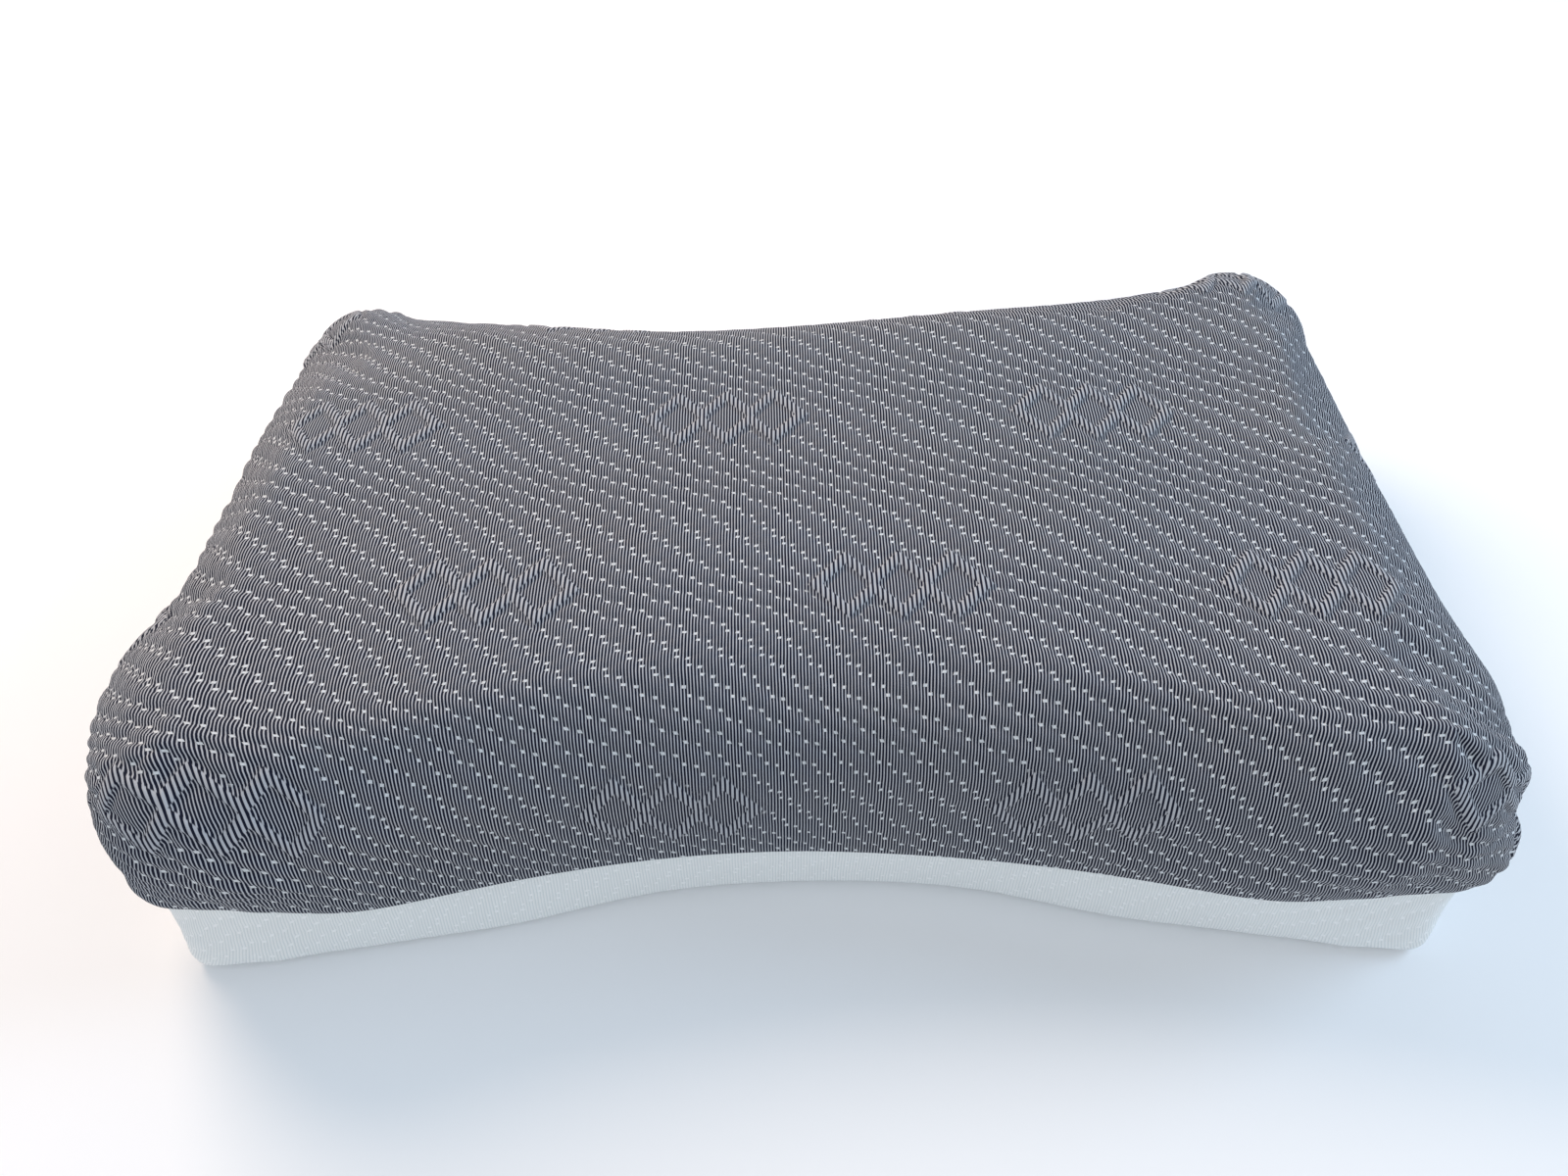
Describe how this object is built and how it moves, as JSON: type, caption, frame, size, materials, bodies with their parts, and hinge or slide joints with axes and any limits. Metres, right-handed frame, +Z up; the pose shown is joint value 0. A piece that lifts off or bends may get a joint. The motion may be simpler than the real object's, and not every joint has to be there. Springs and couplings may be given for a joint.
{
  "type": "contour bed pillow",
  "caption": "Contour foam bed pillow with curved-in long sides, in a knitted cover that a zip closes along the back.",
  "frame": {"origin": "middle of the base face that the pillow rests on", "axes": "+X left to right along the longest side, +Y front to back with the zip at +Y, +Z up from the base"},
  "size_m": [0.6, 0.3892, 0.12],
  "materials": {
    "cover_top": "matte",
    "cover_bottom": "matte",
    "seam_thread": "matte",
    "liner": "matte",
    "foam": "matte",
    "zip_tape": "matte",
    "zip_teeth": "satin",
    "zip_metal": "satin",
    "label": "satin"
  },
  "bodies": {
    "pillow": {"foam_core": "foam", "liner_upper": "liner", "liner_lower": "liner", "liner_seam": "liner", "cover_top": "cover_top", "cover_bottom": "cover_bottom", "edge_seam": "seam_thread", "corner_dart_front_left": "seam_thread", "corner_dart_front_right": "seam_thread", "corner_dart_back_left": "seam_thread", "corner_dart_back_right": "seam_thread", "zip_tape_upper": "zip_tape", "zip_tape_lower": "zip_tape", "zip_teeth_upper": "zip_teeth", "zip_teeth_lower": "zip_teeth", "zip_top_stop_upper": "zip_metal", "zip_top_stop_lower": "zip_metal", "zip_bottom_stop": "zip_metal", "zip_stitching_upper": "seam_thread", "zip_stitching_lower": "zip_tape", "care_label": "label"},
    "slider": {"zip_slider": "zip_metal"},
    "pull": {"zip_pull_tab": "zip_metal"}
  },
  "joints": [
    {"name": "zip_travel", "type": "hinge", "parent": "pillow", "child": "slider", "pos_m": [0, 0.90981, 0.042], "axis": [0, 0, 1], "range_deg": [-27.43, 0]},
    {"name": "pull_swing", "type": "hinge", "parent": "slider", "child": "pull", "pos_m": [0.17928, 0.17537, 0.042], "axis": [0, 0, -1], "range_deg": [0, 172]}
  ]
}
